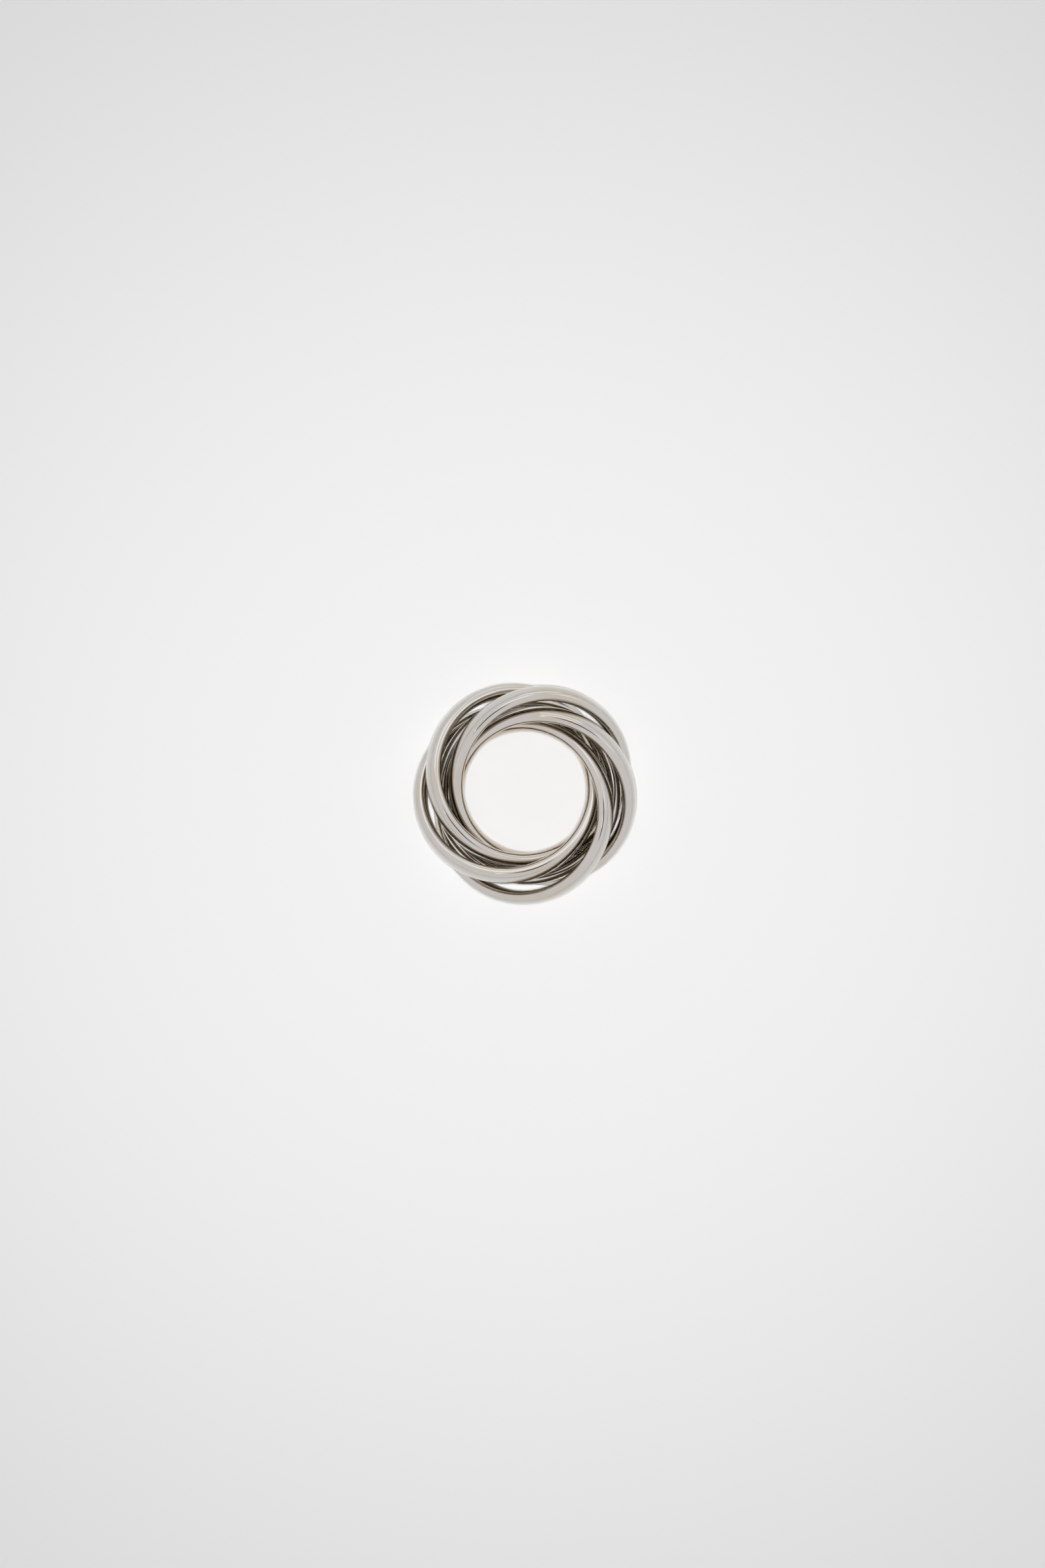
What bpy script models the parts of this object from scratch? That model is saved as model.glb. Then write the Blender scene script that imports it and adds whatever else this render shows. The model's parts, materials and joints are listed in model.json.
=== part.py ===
"""Rolling finger ring: six equal closed bands, each linked through the other five.

Units are metres and +Z is up. The origin is under the middle of the ring, on the surface it lies
on. Five bands touch that surface at their lowest points and lean on their neighbours, in a low
rosette around the finger hole. They wind around the sixth, which lies nearly flat as their core
and is carried clear of the surface.
"""

from collections import namedtuple
from math import copysign, cos, pi, radians, sin

import bmesh
import bpy
from mathutils import Matrix, Vector

MM = 0.001

# Section of one band: a rounded oval. Its power is 2 for a true ellipse, and more for fuller sides.
INNER_DIAMETER = 23.6 * MM
BAND_WIDTH = 3.8 * MM
BAND_THICKNESS = 2.1 * MM
SECTION_POWER = 2.5

# Facets of the solid.
TURN_STEPS = 60
SECTION_POINTS = 20
SCREW_MERGE = 0.00001

SILVER = (0.62, 0.6, 0.57)
SILVER_ROUGHNESS = 0.12

# How a band lies: its centre is set off from the middle by offset, towards the bearing
# offset_deg, and it is tilted by tilt_deg with its highest point towards high_deg. Bearings
# are counted from +X towards +Y. Its centre is at the given height, or without one as high as it
# is when the band rests on the surface.
Lie = namedtuple("Lie", "offset offset_deg tilt_deg high_deg height", defaults=(None,))
LIES = {
    "band_a": Lie(3.25 * MM, 51.0, 22.0, 132.5),
    "band_b": Lie(3.05 * MM, 114.5, 19.0, 216.0),
    "band_c": Lie(2.80 * MM, 178.0, 20.5, 282.5),
    "band_d": Lie(2.50 * MM, 262.0, 20.0, 355.0),
    "band_e": Lie(2.55 * MM, 353.0, 21.0, 71.5),
    "band_f": Lie(0.52 * MM, 52.0, 0.8, 296.5, 6.29 * MM),
}


def on_semi_axis(semi_axis, reach, size):
    """One coordinate of the oval's point, where reach is the semi-axis times the facing's share."""
    return copysign(semi_axis * (abs(reach) / size) ** (1 / (SECTION_POWER - 1)), reach)


def band_profile():
    """The section as (distance from the band's axis, height along it), from its top edge down the
    outer side and back up the inner side. The points are even in the direction they face."""
    half_thickness, half_width = BAND_THICKNESS / 2, BAND_WIDTH / 2
    middle_radius = INNER_DIAMETER / 2 + half_thickness
    power = SECTION_POWER / (SECTION_POWER - 1)
    profile = []
    for i in range(SECTION_POINTS):
        facing = pi / 2 - 2 * pi * i / SECTION_POINTS
        out, up = half_thickness * cos(facing), half_width * sin(facing)
        size = (abs(out) ** power + abs(up) ** power) ** (1 / power)
        radius = middle_radius + on_semi_axis(half_thickness, out, size)
        profile.append((radius, on_semi_axis(half_width, up, size)))
    return profile


def support_height(profile, tilt):
    """Height of a tilted band's centre above the surface that its lowest point touches."""
    return max(radius * sin(tilt) + abs(height) * cos(tilt) for radius, height in profile)


def place(lie, profile):
    """World matrix of a band: its local Z is the axis that it turns about."""
    tilt, offset, high = radians(lie.tilt_deg), radians(lie.offset_deg), radians(lie.high_deg)
    axis = Vector((-sin(tilt) * cos(high), -sin(tilt) * sin(high), cos(tilt)))
    height = support_height(profile, tilt) if lie.height is None else lie.height
    centre = Vector((lie.offset * cos(offset), lie.offset * sin(offset), height))
    return Matrix.Translation(centre) @ axis.to_track_quat("Z", "Y").to_matrix().to_4x4()


def polished_silver():
    material = bpy.data.materials.new("polished_silver")
    material.use_nodes = True
    shader = material.node_tree.nodes["Principled BSDF"]
    shader.inputs["Base Color"].default_value = (*SILVER, 1)
    shader.inputs["Metallic"].default_value = 1
    shader.inputs["Roughness"].default_value = SILVER_ROUGHNESS
    return material


def profile_mesh(profile):
    """The section as a closed ring of edges in the XZ plane."""
    mesh = bpy.data.meshes.new("band_profile")
    shape = bmesh.new()
    corners = [shape.verts.new((radius, 0, height)) for radius, height in profile]
    for start, end in zip(corners, corners[1:] + corners[:1]):
        shape.edges.new((start, end))
    shape.to_mesh(mesh)
    shape.free()
    return mesh


def make_band(name, lie, mesh, profile, collection):
    band = bpy.data.objects.new(name, mesh)
    collection.objects.link(band)
    band.matrix_world = place(lie, profile)
    turn = band.modifiers.new("turn", "SCREW")
    turn.axis = "Z"
    turn.angle = 2 * pi
    turn.steps = turn.render_steps = TURN_STEPS
    turn.use_merge_vertices = True
    turn.merge_threshold = SCREW_MERGE
    turn.use_smooth_shade = True
    return band


def main():
    for leftover in list(bpy.data.objects):
        bpy.data.objects.remove(leftover)
    collection = bpy.data.collections.new("rolling_ring")
    bpy.context.scene.collection.children.link(collection)
    profile = band_profile()
    mesh = profile_mesh(profile)
    mesh.materials.append(polished_silver())
    for name, lie in LIES.items():
        make_band(name, lie, mesh, profile, collection)


main()
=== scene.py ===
"""Looks of the rolling finger ring: six polished silver bands on a pale floor.

Each packed band is replaced by a fine, smooth one with the same centre and axis. Its section is
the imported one, drawn in by SURFACE_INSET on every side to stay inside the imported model's box.
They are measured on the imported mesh. Units are metres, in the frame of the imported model.
"""

import json
from math import cos, pi, radians, sin, tau

import bpy
import numpy as np
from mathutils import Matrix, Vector


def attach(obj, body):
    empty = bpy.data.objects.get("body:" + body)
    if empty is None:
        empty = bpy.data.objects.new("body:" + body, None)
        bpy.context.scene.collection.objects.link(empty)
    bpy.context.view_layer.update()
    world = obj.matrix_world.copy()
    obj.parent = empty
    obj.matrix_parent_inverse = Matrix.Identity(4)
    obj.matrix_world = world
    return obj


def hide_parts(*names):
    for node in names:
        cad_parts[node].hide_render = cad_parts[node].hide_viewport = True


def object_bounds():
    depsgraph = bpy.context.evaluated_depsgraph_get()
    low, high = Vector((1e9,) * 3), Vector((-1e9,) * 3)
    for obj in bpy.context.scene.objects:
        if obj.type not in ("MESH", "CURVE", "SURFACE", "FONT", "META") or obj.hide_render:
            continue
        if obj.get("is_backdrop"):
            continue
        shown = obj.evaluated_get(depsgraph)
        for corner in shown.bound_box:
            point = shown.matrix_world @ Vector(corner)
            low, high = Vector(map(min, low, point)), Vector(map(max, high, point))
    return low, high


MM = 0.001

# Camera: straight above the ring, with +Y up in the picture.
CAMERA_PLACE = (-0.5 * MM, 1.5 * MM, 649 * MM)
LENS = 99.4
SENSOR = 36

# Fine bands.
SECTION_POWER = 2.5
SURFACE_INSET = 0.04 * MM
TURN_STEPS = 432
SECTION_STEPS = 80
WAVE_DEPTH = 0.004 * MM
# Each wave is a count round the band, a count round the section, and a phase.
WAVES = ((5, 1, 0.3), (11, 2, 1.7), (17, 1, 4.1))
PHASE_PER_BAND = 1.3

# Polished metal, clouded in places, and a warm brown on the side of the band that faces the finger:
# partly tarnish that stays where a cloth seldom reaches, partly painted shade for the dark
# reflections of the crevices and the other bands that this side faces. The stops are where the
# thick brown starts to thin, where only the thin one is left, and where it ends, in turns of the
# section.
METAL = (0.62, 0.6, 0.57)
CLOUDED = (0.59, 0.54, 0.455)
TARNISH_AND_PAINTED_SHADE_EDGE = (0.57, 0.5, 0.41)
TARNISH_AND_PAINTED_SHADE = (0.5, 0.43, 0.345)
TARNISH_AND_PAINTED_SHADE_STOPS = (0.1, 0.145, 0.2)
POLISH_ROUGHNESS = 0.03
WORN_ROUGHNESS = 0.09
INNER_SIDE_ROUGHNESS = 0.12

# Each noise is its scale round the band and round the section, and its detail; a range is the
# part of the noise over which its effect grows from none to full.
BUFFING = ((24, 260, 1), 3)
WEAR = ((26, 3, 1), 4)
CLOUDS = ((7, 1.2, 1), 3)
HAIR = ((420, 26, 1), 2)
WEAR_RANGE = (0.45, 0.75)
CLOUD_RANGE = (0.44, 0.68)
HAIR_RANGE = (0.66, 0.72)
BUFFING_STRENGTH = 0.06
HAIR_STRENGTH = 0.05
MARK_DEPTH = 0.01 * MM

# Light. The room is an even white that shows mostly in reflections, with a dark patch where the
# camera hangs. Panels face the ring from a bearing and a lean off the upright, both in degrees,
# and add their radiance to the room's, in reflections only. The top lamp is beside the camera, so
# that what the camera sees is lit, down to the floor in the gaps.
ROOM = (0.88, 0.862, 0.872)
ROOM_ON_DULL_SURFACES = 0.005
CAMERA_SHADE = (0.05, 0.045, 0.045)
CAMERA_SHADE_DEG = (9, 12.5)
CAMERA_SHADE_FACING = (339, 4.6)
PANEL_COLOUR = (1.0, 0.995, 0.95)
PANEL_DISTANCE = 0.9
PANELS = {
    "north_panel": ((84, 33), (0.46, 0.34), 0.42),
    "east_panel": ((20, 42), (0.34, 0.24), 0.34),
    "low_window": ((78, 76), (0.6, 0.38), 0.3),
    "glint": ((182, 11.5), (0.045, 0.045), 3.0),
}
TOP_LAMP_FACING = (0, 0)
TOP_LAMP_SIZE = 0.04
TOP_LAMP_DISTANCE = 0.649
TOP_LAMP_ON_FLOOR = 0.878
KEY_LAMP_FACING = (185, 11)
KEY_LAMP_SIZE = 0.2
KEY_LAMP_DISTANCE = 3.0
KEY_LAMP_ON_FLOOR = 0.012

FLOOR_ROUGHNESS = 0.9
FLOOR_SPECULAR = 0.1
FLOOR = (0.905, 0.905, 0.905)
# Painted shade: the floor goes from its own white near the ring to a darker grey further out,
# between the two distances of the fade. It stands in for light that thins out away from the ring.
FLOOR_PAINTED_SHADE = (0.75, 0.75, 0.75)
FLOOR_HALF = 3.0
FLOOR_PAINTED_SHADE_DISTANCES = (0.03, 0.19)


def node(tree, kind, **values):
    """A new node, with its inputs set by name and its properties by attribute."""
    made = tree.nodes.new(kind)
    for name, value in values.items():
        if name in made.inputs:
            made.inputs[name].default_value = value
        else:
            setattr(made, name, value)
    return made


def ranged(tree, value, low, high, out_low, out_high):
    limits = node(tree, "ShaderNodeMapRange")
    for name, number in zip(
        ("From Min", "From Max", "To Min", "To Max"), (low, high, out_low, out_high)
    ):
        limits.inputs[name].default_value = number
    tree.links.new(value, limits.inputs["Value"])
    return limits.outputs["Result"]


def make_camera():
    camera = bpy.data.objects.new("camera", bpy.data.cameras.new("camera"))
    camera.data.lens = LENS
    camera.data.sensor_width = SENSOR
    camera.data.clip_start = 0.01
    camera.location = CAMERA_PLACE
    bpy.context.scene.collection.objects.link(camera)
    bpy.context.scene.camera = camera


def towards(bearing_deg, lean_deg):
    """Unit vector at a bearing from +X towards +Y, leaning off the upright."""
    bearing, lean = radians(bearing_deg), radians(lean_deg)
    return Vector((cos(bearing) * sin(lean), sin(bearing) * sin(lean), cos(lean)))


def make_world():
    """The room by direction: an even white, with the camera as a soft-edged dark patch."""
    world = bpy.data.worlds.new("studio")
    bpy.context.scene.world = world
    world.use_nodes = True
    tree = world.node_tree
    background = tree.nodes["Background"]
    ray = node(tree, "ShaderNodeLightPath")
    dull = ranged(tree, ray.outputs["Is Diffuse Ray"], 0, 1, 1, ROOM_ON_DULL_SURFACES)
    tree.links.new(dull, background.inputs["Strength"])
    direction = node(tree, "ShaderNodeTexCoord")
    closeness = node(tree, "ShaderNodeVectorMath", operation="DOT_PRODUCT")
    closeness.inputs[1].default_value = towards(*CAMERA_SHADE_FACING)
    tree.links.new(direction.outputs["Generated"], closeness.inputs[0])
    inner, outer = (cos(radians(a)) for a in CAMERA_SHADE_DEG)
    shade = node(tree, "ShaderNodeMix", data_type="RGBA")
    shade.inputs[6].default_value = (*ROOM, 1)
    shade.inputs[7].default_value = (*CAMERA_SHADE, 1)
    tree.links.new(ranged(tree, closeness.outputs["Value"], outer, inner, 0, 1), shade.inputs[0])
    tree.links.new(shade.outputs[2], background.inputs["Color"])


def area_lamp(name, colour, size, facing, distance, radiance):
    """A rectangular lamp that faces the ring, given by the radiance of its surface."""
    light = bpy.data.lights.new(name, "AREA")
    light.shape = "RECTANGLE"
    light.size, light.size_y = size
    light.energy = radiance * pi * size[0] * size[1]
    light.color = colour
    lamp = bpy.data.objects.new(name, light)
    away = towards(*facing)
    lamp.location = away * distance
    lamp.rotation_mode = "QUATERNION"
    lamp.rotation_quaternion = away.to_track_quat("Z", "Y")
    bpy.context.scene.collection.objects.link(lamp)
    return lamp


def floor_lamp(name, facing, size, distance, on_floor):
    """A square white lamp that isn't seen in reflections, given by the share of full white that
    it lends a white floor."""
    radiance = on_floor * pi * distance**2 / size**2
    lamp = area_lamp(name, (1, 1, 1), (size, size), facing, distance, radiance)
    lamp.visible_glossy = False


def make_lamps():
    for name, (facing, size, radiance) in PANELS.items():
        panel = area_lamp(name, PANEL_COLOUR, size, facing, PANEL_DISTANCE, radiance)
        panel.visible_diffuse = False
    floor_lamp("top_lamp", TOP_LAMP_FACING, TOP_LAMP_SIZE, TOP_LAMP_DISTANCE, TOP_LAMP_ON_FLOOR)
    floor_lamp("key_lamp", KEY_LAMP_FACING, KEY_LAMP_SIZE, KEY_LAMP_DISTANCE, KEY_LAMP_ON_FLOOR)


def floor_material():
    material = bpy.data.materials.new("pale_floor")
    material.use_nodes = True
    tree = material.node_tree
    shader = tree.nodes["Principled BSDF"]
    shader.inputs["Roughness"].default_value = FLOOR_ROUGHNESS
    shader.inputs["Specular IOR Level"].default_value = FLOOR_SPECULAR
    place = node(tree, "ShaderNodeTexCoord")
    distance = node(tree, "ShaderNodeVectorMath", operation="LENGTH")
    # Painted shade: the floor's colour darkens with distance from the ring.
    painted_shade_fade = node(tree, "ShaderNodeMapRange", interpolation_type="SMOOTHSTEP")
    painted_shade_fade.inputs["From Min"].default_value, painted_shade_fade.inputs["From Max"].default_value = FLOOR_PAINTED_SHADE_DISTANCES
    mix = node(tree, "ShaderNodeMix", data_type="RGBA")
    mix.inputs[6].default_value, mix.inputs[7].default_value = (*FLOOR, 1), (*FLOOR_PAINTED_SHADE, 1)
    tree.links.new(place.outputs["Object"], distance.inputs[0])
    tree.links.new(distance.outputs["Value"], painted_shade_fade.inputs["Value"])
    tree.links.new(painted_shade_fade.outputs["Result"], mix.inputs[0])
    tree.links.new(mix.outputs[2], shader.inputs["Base Color"])
    return material


def make_floor():
    mesh = bpy.data.meshes.new("floor")
    corners = [(x * FLOOR_HALF, y * FLOOR_HALF, 0) for x, y in ((-1, -1), (1, -1), (1, 1), (-1, 1))]
    mesh.from_pydata(corners, [], [(0, 1, 2, 3)])
    mesh.materials.append(floor_material())
    floor = bpy.data.objects.new("floor", mesh)
    bpy.context.scene.collection.objects.link(floor)
    floor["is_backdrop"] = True


def stretched_noise(tree, uv, kind):
    """Noise drawn out along one direction of the band's own coordinates."""
    scale, detail = kind
    mapping = node(tree, "ShaderNodeMapping")
    mapping.inputs["Scale"].default_value = scale
    noise = node(tree, "ShaderNodeTexNoise", Scale=1.0, Detail=detail)
    tree.links.new(uv.outputs["UV"], mapping.inputs["Vector"])
    tree.links.new(mapping.outputs["Vector"], noise.inputs["Vector"])
    return noise.outputs["Fac"]


def two_colours(tree, share, first, second):
    """A mix of two colours, where the first may be the output of another node."""
    mix = node(tree, "ShaderNodeMix", data_type="RGBA")
    mix.inputs[7].default_value = (*second, 1)
    if isinstance(first, tuple):
        mix.inputs[6].default_value = (*first, 1)
    else:
        tree.links.new(first, mix.inputs[6])
    tree.links.new(share, mix.inputs[0])
    return mix.outputs[2]


def tarnish_and_painted_shade_shares(tree, uv):
    """How far the thick and the thin brown reach, from the middle of the side facing the finger:
    partly tarnish, partly painted shade.
    """
    place = node(tree, "ShaderNodeSeparateXYZ")
    from_inside = node(tree, "ShaderNodeMath", operation="SUBTRACT")
    # Half way round the section is the side that faces the finger.
    from_inside.inputs[1].default_value = 0.5
    apart = node(tree, "ShaderNodeMath", operation="ABSOLUTE")
    tree.links.new(uv.outputs["UV"], place.inputs[0])
    tree.links.new(place.outputs["Y"], from_inside.inputs[0])
    tree.links.new(from_inside.outputs[0], apart.inputs[0])
    thick_end, middle, thin_end = TARNISH_AND_PAINTED_SHADE_STOPS
    thick_tarnish_and_shade = ranged(tree, apart.outputs[0], thick_end, middle, 1, 0)
    thin_tarnish_and_shade = ranged(tree, apart.outputs[0], middle, thin_end, 1, 0)
    return thick_tarnish_and_shade, thin_tarnish_and_shade


def surface_marks(tree, uv):
    """The normal of a surface with buffing lines and a few fine hair lines."""
    lines = node(tree, "ShaderNodeBump", Strength=BUFFING_STRENGTH, Distance=MARK_DEPTH)
    hairs = node(tree, "ShaderNodeBump", Strength=HAIR_STRENGTH, Distance=MARK_DEPTH)
    tree.links.new(stretched_noise(tree, uv, BUFFING), lines.inputs["Height"])
    hair = ranged(tree, stretched_noise(tree, uv, HAIR), *HAIR_RANGE, 0, 1)
    tree.links.new(hair, hairs.inputs["Height"])
    tree.links.new(lines.outputs["Normal"], hairs.inputs["Normal"])
    return hairs.outputs["Normal"]


def silver_material():
    """Polished silver: buffing lines along the band, worn patches, and a warm brown on the side
    facing the finger that is partly tarnish and partly painted shade.
    """
    material = bpy.data.materials.new("polished_silver")
    material.use_nodes = True
    tree = material.node_tree
    shader = tree.nodes["Principled BSDF"]
    shader.inputs["Metallic"].default_value = 1
    uv = node(tree, "ShaderNodeUVMap", uv_map="band")
    cloudy = ranged(tree, stretched_noise(tree, uv, CLOUDS), *CLOUD_RANGE, 0, 1)
    # Painted shade: the side facing the finger is painted warm brown. This is partly tarnish and
    # partly stands in for the dark reflections of the crevices.
    thick_tarnish_and_shade, thin_tarnish_and_shade = tarnish_and_painted_shade_shares(tree, uv)
    metal = two_colours(tree, cloudy, METAL, CLOUDED)
    tarnished_and_shaded = two_colours(tree, thin_tarnish_and_shade, metal, TARNISH_AND_PAINTED_SHADE_EDGE)
    tree.links.new(two_colours(tree, thick_tarnish_and_shade, tarnished_and_shaded, TARNISH_AND_PAINTED_SHADE), shader.inputs["Base Color"])
    wear = stretched_noise(tree, uv, WEAR)
    worn = ranged(tree, wear, *WEAR_RANGE, POLISH_ROUGHNESS, WORN_ROUGHNESS)
    dulled = node(tree, "ShaderNodeMix", data_type="FLOAT")
    dulled.inputs[3].default_value = INNER_SIDE_ROUGHNESS
    tree.links.new(thick_tarnish_and_shade, dulled.inputs[0])
    tree.links.new(worn, dulled.inputs[2])
    tree.links.new(dulled.outputs[0], shader.inputs["Roughness"])
    tree.links.new(surface_marks(tree, uv), shader.inputs["Normal"])
    return material


def measure(packed):
    """Centre, axis, middle radius and half sizes of the section of a packed band."""
    points = np.array([v.co for v in packed.data.vertices], float)
    points = np.unique(np.round(points, 8), axis=0)
    centre = points.mean(0)
    axis = np.linalg.svd(points - centre, full_matrices=False)[2][2]
    axis = axis * np.sign(axis[2])
    height = (points - centre) @ axis
    radius = np.linalg.norm(points - centre - np.outer(height, axis), axis=1)
    middle = (radius.min() + radius.max()) / 2
    return centre, axis, middle, (radius.max() - radius.min()) / 2, np.abs(height).max()


def section(half_thickness, half_width):
    """Points of the rounded section, evenly spread in the direction that the surface faces."""
    facing = np.arange(SECTION_STEPS) * tau / SECTION_STEPS
    across, along = half_thickness * np.cos(facing), half_width * np.sin(facing)
    power = SECTION_POWER / (SECTION_POWER - 1)
    size = (np.abs(across) ** power + np.abs(along) ** power) ** (1 / power)
    out = half_thickness * np.sign(across) * (np.abs(across) / size) ** (power - 1)
    up = half_width * np.sign(along) * (np.abs(along) / size) ** (power - 1)
    return out, up


def fine_band(name, packed, material, phase):
    """A smooth band in the place of a packed one, with the faint waves that polishing leaves."""
    centre, axis, middle, half_thickness, half_width = measure(packed)
    out, up = section(half_thickness - SURFACE_INSET, half_width - SURFACE_INSET)
    side = np.cross((0.0, 1.0, 0.0), axis)
    side /= np.linalg.norm(side)
    front = np.cross(axis, side)
    turn = np.arange(TURN_STEPS) * tau / TURN_STEPS
    around = np.arange(SECTION_STEPS) * tau / SECTION_STEPS
    wave = sum(np.sin(n * turn[:, None] + m * around + p + phase) for n, m, p in WAVES)
    shrink = 1 - WAVE_DEPTH * (wave + len(WAVES)) / (2 * half_thickness)
    reach = np.outer(np.cos(turn), side) + np.outer(np.sin(turn), front)
    radial = (middle + out * shrink)[:, :, None] * reach[:, None, :]
    points = centre + radial + (up * shrink)[:, :, None] * axis
    index = np.arange(TURN_STEPS * SECTION_STEPS).reshape(TURN_STEPS, SECTION_STEPS)
    ahead, above = np.roll(index, -1, 0), np.roll(index, -1, 1)
    quads = np.stack((index, ahead, np.roll(ahead, -1, 1), above), -1).reshape(-1, 4)
    mesh = bpy.data.meshes.new(name)
    mesh.from_pydata(points.reshape(-1, 3).tolist(), [], quads.tolist())
    steps = np.array([(0, 0), (1, 0), (1, 1), (0, 1)])
    grid = np.stack(np.divmod(np.arange(len(quads)), SECTION_STEPS), -1)
    places = (grid[:, None, :] + steps) / (TURN_STEPS, SECTION_STEPS)
    mesh.uv_layers.new(name="band").data.foreach_set("uv", places.ravel())
    mesh.materials.append(material)
    mesh.shade_smooth()
    band = bpy.data.objects.new(name, mesh)
    bpy.context.scene.collection.objects.link(band)
    return band


def corners():
    return [list(corner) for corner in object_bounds()]


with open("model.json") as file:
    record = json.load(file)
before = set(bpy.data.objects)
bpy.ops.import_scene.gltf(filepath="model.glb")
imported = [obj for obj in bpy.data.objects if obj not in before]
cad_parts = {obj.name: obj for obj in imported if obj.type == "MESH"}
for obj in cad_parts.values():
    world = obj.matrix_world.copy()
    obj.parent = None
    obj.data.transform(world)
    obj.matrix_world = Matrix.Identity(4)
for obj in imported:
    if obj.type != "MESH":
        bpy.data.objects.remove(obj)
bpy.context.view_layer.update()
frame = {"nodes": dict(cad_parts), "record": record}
make_camera()
bpy.context.scene.view_settings.view_transform = "Standard"
make_world()
make_lamps()
make_floor()
silver = silver_material()
for number, (body, members) in enumerate(frame["record"]["behaviour"]["bodies"].items()):
    packed = frame["nodes"][members[0]]
    band = fine_band("polished_" + body, packed, silver, number * PHASE_PER_BAND)
    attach(band, body)
    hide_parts(members[0])
